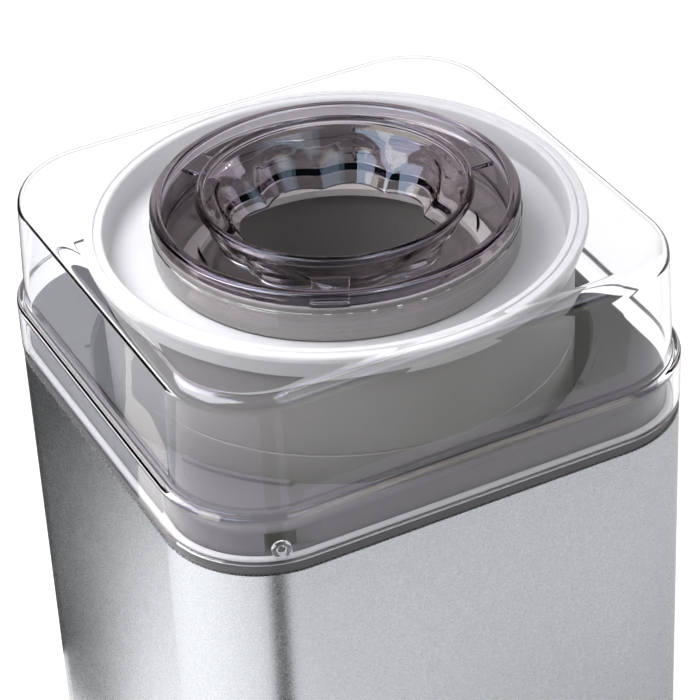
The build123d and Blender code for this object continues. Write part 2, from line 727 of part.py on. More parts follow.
def drive_hub():
    lugs = [disc(LUG_R, BOWL_BOTTOM, BOWL_BOTTOM + LUG_H, *at) for at in around(LUGS, LUG_AT)]
    bore = disc(SHAFT_R, WELL_FLOOR_Z, BOWL_BOTTOM - HUB_FLOOR_T)
    return joined([disc(HUB_R, *HUB_Z)] + lugs) - bore


def output_shaft():
    return disc(SHAFT_R, CASE_Z + 1, BOWL_BOTTOM - HUB_FLOOR_T)


# ---------------------------------------------------------------- mixing paddle
BLADE_HALF = 2.0
BLADE_X = (49.0, 59.5)    # inner and outer edge of a scraper blade at its bottom
BLADE_Z = CAVITY_FLOOR_Z + 12.0
BAR_X = (9.0, 57.0)       # bar from the hub to a blade
BAR_Z = (CAVITY_FLOOR_Z + 4.5, CAVITY_FLOOR_Z + 14.0)
KEY_X = (PADDLE_RING_R - 2.0, PADDLE_RING_R + 3.2)
KEY_HALF = 3.0
KEY_UP = 6.0              # height of the key above the ring
PADDLE_RING_T = 3.0
PADDLE_HUB_R = (10.0, 13.0)
PADDLE_HUB_Z = (CAVITY_FLOOR_Z + 1.0, CAVITY_FLOOR_Z + 18.0)


def paddle_leg(angle):
    """Scraper blade beside the wall, leaning with it, and its key under the lid."""
    top = PADDLE_RING_Z
    corners = [(BLADE_X[0], BLADE_Z), (BLADE_X[1], BLADE_Z), (PADDLE_RING_R, top), (PADDLE_RING_IN, top)]
    profile = make_face(Polyline(*corners, close=True))
    blade = extrude(Plane.XZ * profile, BLADE_HALF, both=True)
    foot = block(*BAR_X, -BLADE_HALF, BLADE_HALF, *BAR_Z)
    key = block(*KEY_X, -KEY_HALF, KEY_HALF, top - PADDLE_RING_T, top + KEY_UP)
    return Rot(0, 0, angle) * (blade + foot + key)


def mixing_paddle():
    hub = tube(PADDLE_HUB_R[1], PADDLE_HUB_R[0], *PADDLE_HUB_Z)
    ring = tube(PADDLE_RING_R, PADDLE_RING_IN, PADDLE_RING_Z - PADDLE_RING_T, PADDLE_RING_Z)
    legs = [paddle_leg(angle) for angle in PADDLE_LEG_ANGLES]
    core = disc(PADDLE_HUB_R[0], CAVITY_FLOOR_Z - 1, PADDLE_HUB_Z[1])
    return joined([hub, ring] + legs) - core


# ---------------------------------------------------------------- lid
SKIRT_BOTTOM = TRIM_TOP + 0.3
SKIRT_PROUD = 0.3
SKIRT_R = 2.8             # rounded upper edge of the skirt
STUD_R = 3.6
STUD_HOLE_R = 1.7
STUD_L = 2.2
COLLAR_EDGE = 0.6
FINGER_Y = 5.5            # the two fingers that hold a paddle key stand this far each side of it
FINGER_HALF = 1.5
FINGER_X = (62.5, 65.2)
FINGER_Z = (COLLAR_BOTTOM + 1.0, COLLAR_BOTTOM + 4.0)


def tapered_wall(inset, z0, z1, shoulder):
    """The lid's upper part: drafted walls, a rounded shoulder and a flat top."""
    face = RectangleRounded(BODY_W - 2 * inset, BODY_D - 2 * inset, BODY_R - inset)
    upper = Pos(0, 0, z0) * extrude(face, z1 - z0, taper=WALL_DRAFT)
    return fillet(upper.edges().group_by(Axis.Z)[-1], shoulder)


def stud(radius, further_out=0.2):
    """Round boss inside the skirt, from near the deck's side outwards."""
    inner_face = BODY_R - LID_T
    start, end = inner_face - STUD_L, inner_face + further_out
    return at_stud(Pos((start + end) / 2, 0, 0) * Rot(0, 90, 0) * Cylinder(radius, end - start))


def lid():
    skirt = body_prism(-SKIRT_PROUD, SKIRT_BOTTOM, LEDGE_Z)
    skirt = fillet(skirt.edges().group_by(Axis.Z)[-1], SKIRT_R)
    upper = tapered_wall(WALL_INSET, LEDGE_Z - 1, LID_TOP, SHOULDER_R)
    inner_skirt = body_prism(LID_T, SKIRT_BOTTOM, LEDGE_Z - LID_T)
    inset = WALL_INSET + LID_T
    inner = tapered_wall(inset, LEDGE_Z - LID_T - 1, LID_TOP - LID_T, SHOULDER_IN_R)
    shell = skirt + upper - inner_skirt - inner - disc(COLLAR_R, LEDGE_Z, LID_TOP)
    return joined([shell] + and_opposite(stud(STUD_R))) - and_opposite(stud(STUD_HOLE_R, LID_T + 1))


def lid_collar():
    """Satin grey neck that hangs in the lid's opening and carries the spout."""
    inner = COLLAR_R - COLLAR_T
    ring = tube(COLLAR_R, inner, COLLAR_BOTTOM, COLLAR_TOP)
    ring = fillet(ring.edges().group_by(Axis.Z)[0], COLLAR_EDGE)
    fingers = []
    for angle in PADDLE_LEG_ANGLES:
        for side in (-1, 1):
            width = (side * FINGER_Y - FINGER_HALF, side * FINGER_Y + FINGER_HALF)
            arm = block(FINGER_X[1] - 0.2, inner + 0.6, *width, *FINGER_Z)
            tip = block(*FINGER_X, *width, PADDLE_RING_Z + 1.0, FINGER_Z[1])
            fingers.append(Rot(0, 0, angle) * (arm + tip))
    return joined([ring] + fingers)


# ---------------------------------------------------------------- ingredient spout
POINTS_PER_FLUTE = 8
FUNNEL_MID_R = 45.0       # funnel halfway up
MID_WAVE = 0.45           # share of the flutes' depth left there
PLUG_GAP = 0.3            # between the spout's plug and the collar
TAB_HALF = 7.0
TAB_Z = (SPOUT_RING_TOP - 6.0, SPOUT_RING_TOP - 4.0)
RIB_HALF = 0.7


def fluted_face(radius, wave, z):
    points = []
    steps = FLUTES * POINTS_PER_FLUTE
    for k in range(steps):
        angle = 2 * pi * k / steps
        local = radius + wave * cos(FLUTES * (angle - radians(FLUTE_PHASE)))
        points.append((local * cos(angle), local * sin(angle)))
    return Pos(0, 0, z) * make_face(Spline(*points, periodic=True))


def funnel_solid(offset, z_low, z_high):
    """Fluted cone, grown outwards by offset."""
    low = fluted_face(THROAT_R + offset, THROAT_WAVE, z_low)
    middle = fluted_face(FUNNEL_MID_R + offset, THROAT_WAVE * MID_WAVE, (z_low + z_high) / 2 + 3)
    high = fluted_face(FUNNEL_R - 2.4 + offset, 0.01, z_high)
    return loft([low, middle, high])


def ingredient_spout():
    plug = COLLAR_R - COLLAR_T - PLUG_GAP
    ring_profile = [
        (plug, COLLAR_TOP),
        (COLLAR_R, COLLAR_TOP),
        (COLLAR_R, SPOUT_RING_TOP - 2.0),
        (COLLAR_R - 0.8, SPOUT_RING_TOP - 0.6),
        (COLLAR_R - 2.2, SPOUT_RING_TOP),
        (COLLAR_R - 4.0, SPOUT_RING_TOP - 0.5),
        (COLLAR_R - 4.6, SPOUT_RING_TOP - 1.8),
        (plug - SPOUT_T, WEB_Z),
        (plug, WEB_Z),
    ]
    ring = turned(ring_profile)
    outer = funnel_solid(SPOUT_T / 2, THROAT_Z, FUNNEL_TOP - 3)
    inner = funnel_solid(-SPOUT_T / 2, THROAT_Z, FUNNEL_TOP - 3)
    web = tube(plug - 0.2, 40.0, WEB_Z, WEB_Z + SPOUT_T)
    lip_profile = [
        (FUNNEL_R - 3.4, FUNNEL_TOP - 4.5),
        (FUNNEL_R - 0.6, FUNNEL_TOP - 4.0),
        (FUNNEL_R, FUNNEL_TOP - 2.2),
        (FUNNEL_R - 0.8, FUNNEL_TOP - 0.5),
        (FUNNEL_R - 2.0, FUNNEL_TOP),
        (FUNNEL_R - 3.2, FUNNEL_TOP - 0.8),
    ]
    tabs = [
        Rot(0, 0, angle) * block(FUNNEL_R - 3, COLLAR_R - 3.5, -TAB_HALF, TAB_HALF, *TAB_Z)
        for angle in TAB_ANGLES
    ]
    rib = block(40.0, FUNNEL_R - 1, -RIB_HALF, RIB_HALF, WEB_Z, FUNNEL_TOP - 4)
    body = joined([ring, outer, web, Rot(0, 0, RIB_ANGLE) * rib] + tabs)
    throat = disc(FUNNEL_R - 3.3, FUNNEL_TOP - 3.5, FUNNEL_TOP + 1)
    return body - inner - throat + turned(lip_profile)


# ---------------------------------------------------------------- export
PARTS = [
    base_tray, rubber_feet, base_screws, corner_posts, steel_housing, trim_ring, top_deck,
    rear_panel, shaft_seal, cord_gland, control_bezel, rotary_switch, gearbox_case, gearbox_cover,
    gearbox_screws, output_bushes, gear_pins, motor_stator, motor_winding,
    motor_bracket_lower, motor_bracket_upper, motor_bushes, motor_bolts,
    motor_rotor, motor_shaft, motor_pinion, cooling_fan, first_idler, second_idler,
    output_gear, output_shaft, drive_hub, bowl_outer_shell, bowl_inner_liner, coolant_fill,
    bowl_rim, mixing_paddle, lid, lid_collar, ingredient_spout, control_knob, knob_shaft,
]


def as_compound(shape):
    if isinstance(shape, list):
        return Compound(children=[solid for item in shape for solid in item.solids()])
    return shape


if __name__ == "__main__":
    os.makedirs("parts", exist_ok=True)
    for make in PARTS:
        export_step(as_compound(make()), f"parts/{make.__name__}.step")
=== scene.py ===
"""Looks of the freezer-bowl ice cream maker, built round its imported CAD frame.

Shapes are worked in millimetres in the frame's own axes and scaled to metres when a mesh is made.
"""

import json
from math import atan2, cos, hypot, pi, radians, sin, tan

import bmesh
import bpy
from mathutils import Matrix, Vector


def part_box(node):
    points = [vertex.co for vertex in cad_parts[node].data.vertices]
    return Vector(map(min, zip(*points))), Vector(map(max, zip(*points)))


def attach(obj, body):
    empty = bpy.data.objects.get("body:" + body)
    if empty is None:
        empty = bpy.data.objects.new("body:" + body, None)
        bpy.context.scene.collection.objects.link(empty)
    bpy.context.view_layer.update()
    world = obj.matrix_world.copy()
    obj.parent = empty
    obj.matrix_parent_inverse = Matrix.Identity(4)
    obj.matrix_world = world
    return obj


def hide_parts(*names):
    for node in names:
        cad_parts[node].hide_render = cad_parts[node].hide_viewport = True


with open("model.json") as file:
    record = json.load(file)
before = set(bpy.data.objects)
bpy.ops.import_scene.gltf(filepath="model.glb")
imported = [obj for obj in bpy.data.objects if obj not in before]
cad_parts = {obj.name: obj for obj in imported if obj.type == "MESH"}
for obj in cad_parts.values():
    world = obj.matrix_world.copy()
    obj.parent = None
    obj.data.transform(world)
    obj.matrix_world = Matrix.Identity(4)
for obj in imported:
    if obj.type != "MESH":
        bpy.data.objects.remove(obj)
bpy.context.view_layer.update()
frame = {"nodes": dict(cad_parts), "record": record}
MM = 0.001


# ---------------------------------------------------------------- sizes read from the frame
def low(node, axis):
    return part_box(node)[0][axis] / MM


def high(node, axis):
    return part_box(node)[1][axis] / MM


HALF_W = high("steel_housing", 0)
HALF_D = high("steel_housing", 1)
BASE_STEP = low("steel_housing", 2)
STEEL_TOP = high("steel_housing", 2)
TRIM_TOP = high("trim_ring", 2)
RIM_TOP = high("bowl_rim", 2)
RIM_R = high("bowl_rim", 0)
LID_TOP = high("lid", 2)
SKIRT_BOTTOM = low("lid", 2)
COLLAR_R = high("lid_collar", 0)
COLLAR_TOP = high("lid_collar", 2)
FUNNEL_TOP = high("ingredient_spout", 2)
THROAT_Z = low("ingredient_spout", 2)
LINER_FLOOR = low("bowl_inner_liner", 2)
SHELL_R = high("bowl_outer_shell", 0)
SHELL_TOP = high("bowl_outer_shell", 2)
SHELL_BOTTOM = low("bowl_outer_shell", 2)
KNOB_Z = (low("control_knob", 2) + high("control_knob", 2)) / 2

CORNER_R = 39.4           # rounded upright corners of the steel
CORNER_X = HALF_W - CORNER_R
CORNER_Y = HALF_D - CORNER_R
DECK_TOP = STEEL_TOP + 17.0
LEDGE_Z = STEEL_TOP + 25.0
LID_T = 2.0
LID_PROUD = 0.3           # how far the skirt stands out from the steel
TOP_INSET = 22.0          # where the lid's flat top passes from square to round
OPENING_GAP = 0.05        # between the lid's opening and the collar
OPENING_BEVEL = 0.4
WALL_FOOT = 2.9           # inset of the lid's wall at the ledge
WALL_HEAD = 4.7           # and under its top
RECESS_Z = STEEL_TOP + 58.5
RIM_INNER_R = 87.6
RIM_FLOOR_R = 87.2
RIM_T = 2.4
MOUTH_R = 66.0
RIM_MOUTH_R = 68.4        # the light cap ends under the collar, where the liner's lip takes over

FLUTES = 9
FLUTE_PHASE = radians(52.0)
THROAT_R = 36.8
FLUTE_DEPTH = 2.0
RIDGE_SOFTNESS = 0.015
DOME_TOP = 0.72           # how far up the funnel a pocket reaches, as a share of its height
DOME_DROP = 0.13
DOME_FADE = 0.22
FUNNEL_R = 52.3
FLUTE_STEPS = 360         # points round the funnel


# ---------------------------------------------------------------- outlines
ARC_STEP = radians(11)


def soften(points, closed=True):
    """Rounds each (across, height, radius) corner of an outline and returns (across, height) points."""
    result = []
    for index, (across, height, radius) in enumerate(points):
        at_end = not closed and index in (0, len(points) - 1)
        here = Vector((across, height))
        if at_end or radius == 0:
            result.append(here)
            continue
        back = Vector(points[index - 1][:2]) - here
        ahead = Vector(points[(index + 1) % len(points)][:2]) - here
        turn = pi - back.angle(ahead)
        reach = min(radius * tan(turn / 2), 0.48 * back.length, 0.48 * ahead.length)
        radius = reach / tan(turn / 2)
        middle = (back.normalized() + ahead.normalized()).normalized()
        centre = here + middle * (radius / cos(turn / 2))
        spoke = here + back.normalized() * reach - centre
        side = 1 if ahead.x * back.y - ahead.y * back.x > 0 else -1
        steps = max(2, round(turn / ARC_STEP))
        for k in range(steps + 1):
            angle = side * turn * k / steps
            result.append(centre + Matrix.Rotation(angle, 2) @ spoke)
    return [(point.x, point.y) for point in result]


# ---------------------------------------------------------------- loops of points
CORNER_STEPS = 18
SIDE_STEPS = 10
ROUND_STEPS = 180


def square_loop(inset, height):
    """Points round the machine's rounded-square outline, inset all round."""
    radius = CORNER_R - inset
    loop = []
    for quadrant in range(4):
        sx, sy = ((1, 1), (-1, 1), (-1, -1), (1, -1))[quadrant]
        for k in range(CORNER_STEPS + 1):
            angle = pi / 2 * (quadrant + k / CORNER_STEPS)
            x = sx * CORNER_X + radius * cos(angle)
            y = sy * CORNER_Y + radius * sin(angle)
            loop.append((x, y, height))
        after = pi / 2 * (quadrant + 1)
        nx, ny = ((-1, 1), (-1, -1), (1, -1), (1, 1))[quadrant]
        goal = (nx * CORNER_X + radius * cos(after), ny * CORNER_Y + radius * sin(after))
        start = loop[-1]
        for k in range(1, SIDE_STEPS):
            share = k / SIDE_STEPS
            x = start[0] + (goal[0] - start[0]) * share
            y = start[1] + (goal[1] - start[1]) * share
            loop.append((x, y, height))
    return loop


SQUARE_ANGLES = [atan2(y, x) for x, y, _ in square_loop(10, 0)]
ROUND_ANGLES = [2 * pi * k / ROUND_STEPS for k in range(ROUND_STEPS)]


def round_loop(radius, height, angles=ROUND_ANGLES):
    return [(radius * cos(a), radius * sin(a), height) for a in angles]


def fluted_loop(radius, share, height):
    """Circle with the funnel's flutes: broad pockets with domed tops and narrow ridges between.

    share runs from 0 at the throat to 1 at the funnel's lip.
    """
    loop = []
    for k in range(FLUTE_STEPS):
        angle = 2 * pi * k / FLUTE_STEPS
        lobe = cos(FLUTES * (angle - FLUTE_PHASE) / 2)
        swing = 2 * (lobe * lobe + RIDGE_SOFTNESS) ** 0.5 - 1
        room = (DOME_TOP - DOME_DROP * (1 - swing) - share) / DOME_FADE
        room = min(max(room, 0.0), 1.0)
        local = radius + FLUTE_DEPTH * room * room * (3 - 2 * room) * swing
        loop.append((local * cos(angle), local * sin(angle), height))
    return loop


def divided(points, step):
    """The same outline with extra points along its long straight runs."""
    result = []
    for index, here in enumerate(points):
        ahead = points[(index + 1) % len(points)]
        pieces = max(1, int(hypot(ahead[0] - here[0], ahead[1] - here[1]) / step))
        for k in range(pieces):
            result.append(tuple(h + (a - h) * k / pieces for h, a in zip(here, ahead)))
    return result


# ---------------------------------------------------------------- meshes
def skin(name, loops):
    """Mesh of quads between successive loops; the last joins the first."""
    count = len(loops[0])
    points = [Vector(p) * MM for loop in loops for p in loop]
    faces = []
    for row in range(len(loops)):
        this, following = row * count, (row + 1) % len(loops) * count
        for k in range(count):
            after = (k + 1) % count
            faces.append((this + k, this + after, following + after, following + k))
    return clean_mesh(name, points, faces)


def clean_mesh(name, points, faces):
    mesh = bpy.data.meshes.new(name)
    mesh.from_pydata(points, [], faces)
    work = bmesh.new()
    work.from_mesh(mesh)
    bmesh.ops.remove_doubles(work, verts=work.verts, dist=1e-6)
    bmesh.ops.dissolve_degenerate(work, edges=work.edges, dist=1e-6)
    bmesh.ops.recalc_face_normals(work, faces=work.faces)
    work.to_mesh(mesh)
    work.free()
    return mesh


def lathe(name, outline):
    """Solid of revolution about Z from a closed outline of (radius, height, rounding) points."""
    return skin(name, [round_loop(r, z) for r, z in soften(outline)])


def rounded_bar(name, size, radius, place):
    """Block with rounded edges; place is a matrix in millimetres."""
    mesh = bpy.data.meshes.new(name)
    work = bmesh.new()
    bmesh.ops.create_cube(work, size=1.0)
    bmesh.ops.scale(work, vec=Vector(size), verts=work.verts)
    bmesh.ops.bevel(work, geom=work.edges[:], offset=radius, segments=3, profile=0.5, affect="EDGES")
    bmesh.ops.transform(work, matrix=Matrix.Scale(MM, 4) @ place, verts=work.verts)
    work.to_mesh(mesh)
    work.free()
    return mesh


def joined(name, meshes):
    work = bmesh.new()
    for mesh in meshes:
        work.from_mesh(mesh)
    whole = bpy.data.meshes.new(name)
    work.to_mesh(whole)
    work.free()
    return whole


SHARP_ANGLE = radians(38)


def place_piece(mesh, body, slot, *nodes):
    """Object for a mesh: rides on a body, takes a slot's material and stands for some CAD nodes."""
    piece = bpy.data.objects.new(mesh.name, mesh)
    bpy.context.scene.collection.objects.link(piece)
    mesh.materials.append(MATERIALS[slot])
    mesh.shade_smooth()
    mesh.set_sharp_from_angle(angle=SHARP_ANGLE)
    normals = piece.modifiers.new("weighted", "WEIGHTED_NORMAL")
    normals.keep_sharp = True
    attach(piece, body)
    if nodes:
        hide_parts(*nodes)


# ---------------------------------------------------------------- materials
def start_material(name):
    material = bpy.data.materials.new(name)
    material.use_nodes = True
    tree = material.node_tree
    tree.nodes.clear()
    output = tree.nodes.new("ShaderNodeOutputMaterial")
    shader = tree.nodes.new("ShaderNodeBsdfPrincipled")
    tree.links.new(shader.outputs[0], output.inputs["Surface"])
    return material, tree, shader, output


def noise(tree, scale, detail=2.0, stretch=(1, 1, 1)):
    """Noise in the object's own space; scale is in features for each metre."""
    place = tree.nodes.new("ShaderNodeTexCoord")
    mapping = tree.nodes.new("ShaderNodeMapping")
    mapping.inputs["Scale"].default_value = stretch
    texture = tree.nodes.new("ShaderNodeTexNoise")
    texture.inputs["Scale"].default_value = scale
    texture.inputs["Detail"].default_value = detail
    tree.links.new(place.outputs["Object"], mapping.inputs["Vector"])
    tree.links.new(mapping.outputs["Vector"], texture.inputs["Vector"])
    return texture.outputs["Fac"]


def ramp(tree, value, low_value, high_value, start=0.3, end=0.7):
    spread = tree.nodes.new("ShaderNodeMapRange")
    spread.inputs["From Min"].default_value = start
    spread.inputs["From Max"].default_value = end
    spread.inputs["To Min"].default_value = low_value
    spread.inputs["To Max"].default_value = high_value
    tree.links.new(value, spread.inputs["Value"])
    return spread.outputs["Result"]


def two_tones(tree, value, colour, spread):
    """Colour that wanders a little either side of the one given."""
    mix = tree.nodes.new("ShaderNodeMix")
    mix.data_type = "RGBA"
    mix.inputs["A"].default_value = (*[c * (1 - spread) for c in colour], 1)
    mix.inputs["B"].default_value = (*[min(c * (1 + spread), 1) for c in colour], 1)
    tree.links.new(ramp(tree, value, 0, 1), mix.inputs["Factor"])
    return mix.outputs["Result"]


def bump(tree, height, depth):
    node = tree.nodes.new("ShaderNodeBump")
    node.inputs["Strength"].default_value = 1.0
    node.inputs["Distance"].default_value = depth
    tree.links.new(height, node.inputs["Height"])
    return node.outputs["Normal"]


def mixed(tree, share, first, second):
    """One shader, or the other where share is 1."""
    mix = tree.nodes.new("ShaderNodeMixShader")
    for socket, value in zip(mix.inputs, (share, first, second)):
        tree.links.new(value, socket)
    return mix.outputs[0]


def combined(tree, operation, first, second):
    """Math node; each side is a socket or a number."""
    node = tree.nodes.new("ShaderNodeMath")
    node.operation = operation
    for socket, value in zip(node.inputs, (first, second)):
        if isinstance(value, float):
            socket.default_value = value
        else:
            tree.links.new(value, socket)
    return node.outputs[0]


GLOSS_SCALE = 22.0
GLOSS_LOW, GLOSS_HIGH = 0.93, 1.07


def moulded(name, colour, rough, grain=900.0, depth=0.00003, spread=0.06, metal=0.0, coat=0.0,
            stretch=(1, 1, 1), specular=0.5, octaves=3.0):
    """Opaque surface with a fine grain. Gloss changes slowly over it, or with the grain on bare metal."""
    material, tree, shader, _ = start_material(name)
    fine = noise(tree, grain, octaves, stretch)
    gloss = fine if metal == 1.0 else noise(tree, GLOSS_SCALE)
    tree.links.new(two_tones(tree, fine, colour, spread), shader.inputs["Base Color"])
    tree.links.new(ramp(tree, gloss, rough * GLOSS_LOW, rough * GLOSS_HIGH), shader.inputs["Roughness"])
    tree.links.new(bump(tree, fine, depth), shader.inputs["Normal"])
    shader.inputs["Metallic"].default_value = metal
    shader.inputs["Coat Weight"].default_value = coat
    shader.inputs["Specular IOR Level"].default_value = specular
    return material


FILM_NM = 320.0           # thin film that gives the edges their lilac tone
FILM_IOR = 1.44
CLEAR_COLOUR = (0.995, 0.993, 0.997, 1)
CLEAR_SHADOW = (0.93, 0.93, 0.94, 1)
CLEAR_IOR = 1.5
CLEAR_ROUGH = 0.002
HAZE_SCALE = 60.0
FLOW_SCALE = 35.0         # ripples left by moulding
FLOW_DEPTH = 0.00004


def clear(name, tint, density):
    """Clear moulded plastic, tinted in its thickness; lamps reach what stands behind it."""
    material, tree, shader, output = start_material(name)
    shader.inputs["Base Color"].default_value = CLEAR_COLOUR
    body = tree.nodes.new("ShaderNodeVolumeAbsorption")
    body.inputs["Color"].default_value = (*tint, 1)
    body.inputs["Density"].default_value = density
    tree.links.new(body.outputs[0], output.inputs["Volume"])
    shader.inputs["Thin Film Thickness"].default_value = FILM_NM
    shader.inputs["Thin Film IOR"].default_value = FILM_IOR
    shader.inputs["Transmission Weight"].default_value = 1.0
    shader.inputs["IOR"].default_value = CLEAR_IOR
    flow = noise(tree, FLOW_SCALE, 1.0)
    haze = ramp(tree, noise(tree, HAZE_SCALE), CLEAR_ROUGH, CLEAR_ROUGH * 3)
    tree.links.new(haze, shader.inputs["Roughness"])
    tree.links.new(bump(tree, flow, FLOW_DEPTH), shader.inputs["Normal"])
    open_shader = tree.nodes.new("ShaderNodeBsdfTransparent")
    open_shader.inputs["Color"].default_value = CLEAR_SHADOW
    path = tree.nodes.new("ShaderNodeLightPath")
    mix = mixed(tree, path.outputs["Is Shadow Ray"], shader.outputs[0], open_shader.outputs[0])
    tree.links.new(mix, output.inputs["Surface"])
    return material


def make_materials():
    return {
        "steel_wrap": moulded(
            "steel_wrap", (0.60, 0.615, 0.635), 0.27, 1500, 0.000003, 0.08, metal=1.0, octaves=1.0
        ),
        "trim_grey": moulded("trim_grey", (0.10, 0.098, 0.102), 0.35),
        "deck_grey": moulded("deck_grey", (0.092, 0.088, 0.098), 0.36, spread=0.08, specular=0.3),
        "clear_lid": clear("clear_lid", (0.62, 0.55, 0.64), 28),
        "clear_spout": clear("clear_spout", (0.50, 0.41, 0.50), 110),
        "collar_grey": moulded("collar_grey", (0.185, 0.176, 0.174), 0.3),
        "rim_grey": moulded("rim_grey", (0.56, 0.56, 0.57), 0.33, spread=0.03),
        "bowl_grey": moulded("bowl_grey", (0.195, 0.186, 0.190), 0.42),
        "liner_metal": moulded("liner_metal", (0.17, 0.16, 0.155), 0.6),
        "coolant_blue": moulded("coolant_blue", (0.45, 0.62, 0.75), 0.2),
        "paddle_plastic": moulded("paddle_plastic", (0.42, 0.41, 0.40), 0.4),
        "base_black": moulded("base_black", (0.035, 0.035, 0.038), 0.5, 1400, 0.00006),
        "foot_rubber": moulded("foot_rubber", (0.025, 0.025, 0.025), 0.75, 700, 0.00008, specular=0.3),
        "zinc_screw": moulded("zinc_screw", (0.62, 0.62, 0.60), 0.3, metal=1.0),
        "post_metal": moulded("post_metal", (0.55, 0.55, 0.56), 0.4, metal=1.0, stretch=(8, 8, 1)),
        "case_plastic": moulded("case_plastic", (0.075, 0.075, 0.08), 0.45),
        "gear_nylon": moulded("gear_nylon", (0.78, 0.76, 0.70), 0.4, spread=0.03),
        "shaft_steel": moulded("shaft_steel", (0.55, 0.55, 0.56), 0.22, metal=1.0, stretch=(1, 1, 12)),
        "bush_bronze": moulded("bush_bronze", (0.55, 0.36, 0.17), 0.42, metal=1.0),
        "core_steel": moulded("core_steel", (0.16, 0.16, 0.17), 0.5, metal=0.7, stretch=(1, 1, 20)),
        "winding_tape": moulded("winding_tape", (0.50, 0.20, 0.07), 0.35, coat=0.4, stretch=(1, 20, 1)),
        "bracket_zinc": moulded("bracket_zinc", (0.48, 0.48, 0.48), 0.45, metal=1.0),
        "fan_plastic": moulded("fan_plastic", (0.06, 0.06, 0.07), 0.3),
        "seal_rubber": moulded("seal_rubber", (0.03, 0.03, 0.03), 0.7, specular=0.3),
        "switch_plastic": moulded("switch_plastic", (0.045, 0.045, 0.05), 0.3),
        "bezel_metal": moulded("bezel_metal", (0.55, 0.56, 0.57), 0.25, metal=1.0),
        "knob_plastic": moulded("knob_plastic", (0.03, 0.03, 0.033), 0.32, coat=0.2),
    }


MATERIALS = make_materials()


def dress_nodes():
    """Gives every CAD node the material of its slot."""
    for part in frame["record"]["subparts"]:
        node = frame["nodes"][part["node"]]
        node.data.materials.clear()
        node.data.materials.append(MATERIALS[part["material_slot"]])


# ---------------------------------------------------------------- lid
def lid_wall():
    """Clear lid: skirt, ledge, drafted wall, rounded shoulder and a flat top with a round opening."""
    outside = soften(
        [
            (LID_T, SKIRT_BOTTOM, 0.3),
            (-LID_PROUD, SKIRT_BOTTOM, 0.5),
            (-LID_PROUD, LEDGE_Z, 2.6),
            (WALL_FOOT, LEDGE_Z, 0.7),
            (WALL_HEAD, LID_TOP, 7.0),
            (TOP_INSET, LID_TOP, 0),
        ],
        closed=False,
    )
    inside = soften(
        [
            (TOP_INSET, LID_TOP - LID_T, 0),
            (WALL_HEAD + LID_T, LID_TOP - LID_T, 4.5),
            (WALL_FOOT + LID_T, LEDGE_Z - LID_T, 0.8),
            (LID_T, LEDGE_Z - LID_T, 1.2),
            (LID_T, SKIRT_BOTTOM, 0),
        ],
        closed=False,
    )
    edge = COLLAR_R + OPENING_GAP
    opening = [
        (edge + OPENING_BEVEL, LID_TOP),
        (edge, LID_TOP - OPENING_BEVEL),
        (edge, LID_TOP - LID_T + OPENING_BEVEL),
        (edge + OPENING_BEVEL, LID_TOP - LID_T),
    ]
    loops = [square_loop(inset, z) for inset, z in outside]
    loops += [round_loop(r, z, SQUARE_ANGLES) for r, z in opening]
    loops += [square_loop(inset, z) for inset, z in inside[:-1]]
    return skin("clear_lid", loops)


STUD_BEARING = radians(254.1)
STUD_Z = STEEL_TOP + 9.5
STUD_R = 3.6
STUD_BORE_R = 1.7
STUD_DEPTH = 2.2
STUD_SINK = 0.05          # into the skirt


def lid_studs():
    """Two tubular bosses inside the skirt, at opposite corners."""
    inner_face = CORNER_R - LID_T
    outline = soften(
        [
            (STUD_R, STUD_SINK, 0.2),
            (STUD_R, -STUD_DEPTH, 0.5),
            (STUD_BORE_R, -STUD_DEPTH, 0.4),
            (STUD_BORE_R, STUD_SINK, 0.2),
        ]
    )
    upright = skin("stud", [round_loop(r, z) for r, z in outline])
    corner = Matrix.Translation(Vector((-CORNER_X, -CORNER_Y, STUD_Z)) * MM)
    outward = Matrix.Rotation(STUD_BEARING, 4, "Z") @ Matrix.Translation((inner_face * MM, 0, 0))
    upright.transform(corner @ outward @ Matrix.Rotation(pi / 2, 4, "Y"))
    twin = upright.copy()
    twin.transform(Matrix.Rotation(pi, 4, "Z"))
    return joined("lid_studs", [upright, twin])


def make_lid():
    place_piece(lid_wall(), "lid", "clear_lid", "lid")
    place_piece(lid_studs(), "lid", "clear_lid")


# ---------------------------------------------------------------- spout
SPOUT_T = 1.6
OUTLINE_STEP = 1.2        # longest run between two rings of points on the funnel
TAB_BEARINGS = (1, 121, 241)
TAB_R = 58.0
TAB_SIZE = (14.0, 14.0, 2.0)
TAB_DROP = 5.0            # below the ring's top
RIB_BEARING = 54
RIB_R = 48.4
RIB_SIZE = (4.0, 1.4, 14.0)
RIB_RISE = 8.6            # of its middle above the web


